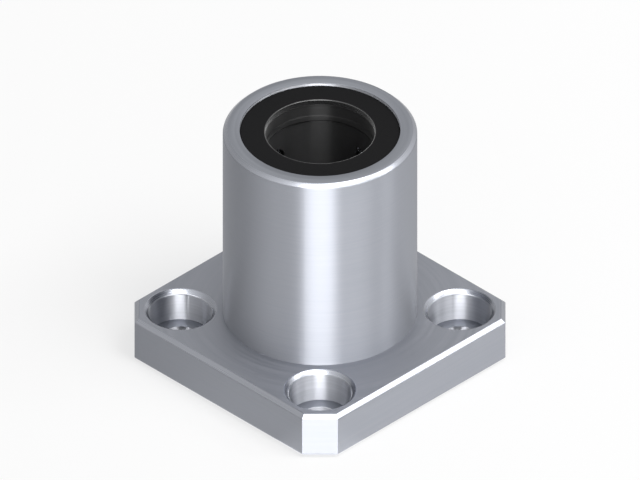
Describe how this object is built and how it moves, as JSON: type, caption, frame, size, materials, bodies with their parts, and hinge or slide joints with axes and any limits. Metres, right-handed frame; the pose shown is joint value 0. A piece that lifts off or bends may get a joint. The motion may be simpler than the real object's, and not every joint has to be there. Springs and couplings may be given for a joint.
{
  "type": "square flange linear bearing",
  "caption": "Short cylindrical ball bearing for a straight round shaft, with seals in both ends and a square counterbored flange at one end.",
  "frame": {"origin": "on the shaft's axis, at the centre of the flange's mounting face, which is the lowest face", "axes": "+Z runs along the shaft's axis from the mounting face to the far end of the body; +X and +Y are square to the sides of the flange"},
  "size_m": [0.034, 0.034, 0.032],
  "materials": {
    "ground_steel": "hardened bearing steel, turned and finely ground all over, satin",
    "cage_resin": "black moulded resin",
    "seal_rubber": "black nitrile rubber, smooth and matte",
    "spring_steel": "dark blued spring steel",
    "ball_steel": "hardened steel balls, lapped to a mirror"
  },
  "bodies": {
    "bearing_body": {"flanged_sleeve": "ground_steel", "ball_retainer": "cage_resin", "upper_seal": "seal_rubber", "lower_seal": "seal_rubber", "upper_retaining_ring": "spring_steel", "lower_retaining_ring": "spring_steel"},
    "circuit_1_loaded": {"circuit_1_loaded_balls": "ball_steel"},
    "circuit_1_return": {"circuit_1_return_balls": "ball_steel"},
    "circuit_1_upper_turn": {"circuit_1_upper_turn_balls": "ball_steel"},
    "circuit_1_lower_turn": {"circuit_1_lower_turn_balls": "ball_steel"},
    "circuit_2_loaded": {"circuit_2_loaded_balls": "ball_steel"},
    "circuit_2_return": {"circuit_2_return_balls": "ball_steel"},
    "circuit_2_upper_turn": {"circuit_2_upper_turn_balls": "ball_steel"},
    "circuit_2_lower_turn": {"circuit_2_lower_turn_balls": "ball_steel"},
    "circuit_3_loaded": {"circuit_3_loaded_balls": "ball_steel"},
    "circuit_3_return": {"circuit_3_return_balls": "ball_steel"},
    "circuit_3_upper_turn": {"circuit_3_upper_turn_balls": "ball_steel"},
    "circuit_3_lower_turn": {"circuit_3_lower_turn_balls": "ball_steel"},
    "circuit_4_loaded": {"circuit_4_loaded_balls": "ball_steel"},
    "circuit_4_return": {"circuit_4_return_balls": "ball_steel"},
    "circuit_4_upper_turn": {"circuit_4_upper_turn_balls": "ball_steel"},
    "circuit_4_lower_turn": {"circuit_4_lower_turn_balls": "ball_steel"}
  },
  "joints": [
    {"name": "circuit_1_roll", "type": "slide", "parent": "bearing_body", "child": "circuit_1_loaded", "axis": [0, 0, 1], "range_m": [-0.00107, 0.00107]},
    {"name": "circuit_1_return_roll", "type": "slide", "parent": "bearing_body", "child": "circuit_1_return", "axis": [0, 0, 1], "range_m": [-0.00107, 0.00107]},
    {"name": "circuit_1_upper_turn_roll", "type": "hinge", "parent": "bearing_body", "child": "circuit_1_upper_turn", "pos_m": [0.00738, 0.00205, 0.02459], "axis": [-0.9764, -0.0584, 0.2079], "range_deg": [-30, 30]},
    {"name": "circuit_1_lower_turn_roll", "type": "hinge", "parent": "bearing_body", "child": "circuit_1_lower_turn", "pos_m": [0.00738, 0.00205, 0.00741], "axis": [-0.9764, -0.0584, -0.2079], "range_deg": [-30, 30]},
    {"name": "circuit_2_roll", "type": "slide", "parent": "bearing_body", "child": "circuit_2_loaded", "axis": [0, 0, 1], "range_m": [-0.00107, 0.00107]},
    {"name": "circuit_2_return_roll", "type": "slide", "parent": "bearing_body", "child": "circuit_2_return", "axis": [0, 0, 1], "range_m": [-0.00107, 0.00107]},
    {"name": "circuit_2_upper_turn_roll", "type": "hinge", "parent": "bearing_body", "child": "circuit_2_upper_turn", "pos_m": [-0.00205, 0.00738, 0.02459], "axis": [0.0584, -0.9764, 0.2079], "range_deg": [-30, 30]},
    {"name": "circuit_2_lower_turn_roll", "type": "hinge", "parent": "bearing_body", "child": "circuit_2_lower_turn", "pos_m": [-0.00205, 0.00738, 0.00741], "axis": [0.0584, -0.9764, -0.2079], "range_deg": [-30, 30]},
    {"name": "circuit_3_roll", "type": "slide", "parent": "bearing_body", "child": "circuit_3_loaded", "axis": [0, 0, 1], "range_m": [-0.00107, 0.00107]},
    {"name": "circuit_3_return_roll", "type": "slide", "parent": "bearing_body", "child": "circuit_3_return", "axis": [0, 0, 1], "range_m": [-0.00107, 0.00107]},
    {"name": "circuit_3_upper_turn_roll", "type": "hinge", "parent": "bearing_body", "child": "circuit_3_upper_turn", "pos_m": [-0.00738, -0.00205, 0.02459], "axis": [0.9764, 0.0584, 0.2079], "range_deg": [-30, 30]},
    {"name": "circuit_3_lower_turn_roll", "type": "hinge", "parent": "bearing_body", "child": "circuit_3_lower_turn", "pos_m": [-0.00738, -0.00205, 0.00741], "axis": [0.9764, 0.0584, -0.2079], "range_deg": [-30, 30]},
    {"name": "circuit_4_roll", "type": "slide", "parent": "bearing_body", "child": "circuit_4_loaded", "axis": [0, 0, 1], "range_m": [-0.00107, 0.00107]},
    {"name": "circuit_4_return_roll", "type": "slide", "parent": "bearing_body", "child": "circuit_4_return", "axis": [0, 0, 1], "range_m": [-0.00107, 0.00107]},
    {"name": "circuit_4_upper_turn_roll", "type": "hinge", "parent": "bearing_body", "child": "circuit_4_upper_turn", "pos_m": [0.00205, -0.00738, 0.02459], "axis": [-0.0584, 0.9764, 0.2079], "range_deg": [-30, 30]},
    {"name": "circuit_4_lower_turn_roll", "type": "hinge", "parent": "bearing_body", "child": "circuit_4_lower_turn", "pos_m": [0.00205, -0.00738, 0.00741], "axis": [-0.0584, 0.9764, -0.2079], "range_deg": [-30, 30]}
  ],
  "couplings": [
    {"joint": "circuit_1_return_roll", "follows": "circuit_1_roll", "ratio": -1},
    {"joint": "circuit_1_upper_turn_roll", "follows": "circuit_1_roll", "rad_per_m": 487.8},
    {"joint": "circuit_1_lower_turn_roll", "follows": "circuit_1_roll", "rad_per_m": 487.8},
    {"joint": "circuit_2_return_roll", "follows": "circuit_2_roll", "ratio": -1},
    {"joint": "circuit_2_upper_turn_roll", "follows": "circuit_2_roll", "rad_per_m": 487.8},
    {"joint": "circuit_2_lower_turn_roll", "follows": "circuit_2_roll", "rad_per_m": 487.8},
    {"joint": "circuit_3_return_roll", "follows": "circuit_3_roll", "ratio": -1},
    {"joint": "circuit_3_upper_turn_roll", "follows": "circuit_3_roll", "rad_per_m": 487.8},
    {"joint": "circuit_3_lower_turn_roll", "follows": "circuit_3_roll", "rad_per_m": 487.8},
    {"joint": "circuit_4_return_roll", "follows": "circuit_4_roll", "ratio": -1},
    {"joint": "circuit_4_upper_turn_roll", "follows": "circuit_4_roll", "rad_per_m": 487.8},
    {"joint": "circuit_4_lower_turn_roll", "follows": "circuit_4_roll", "rad_per_m": 487.8}
  ]
}
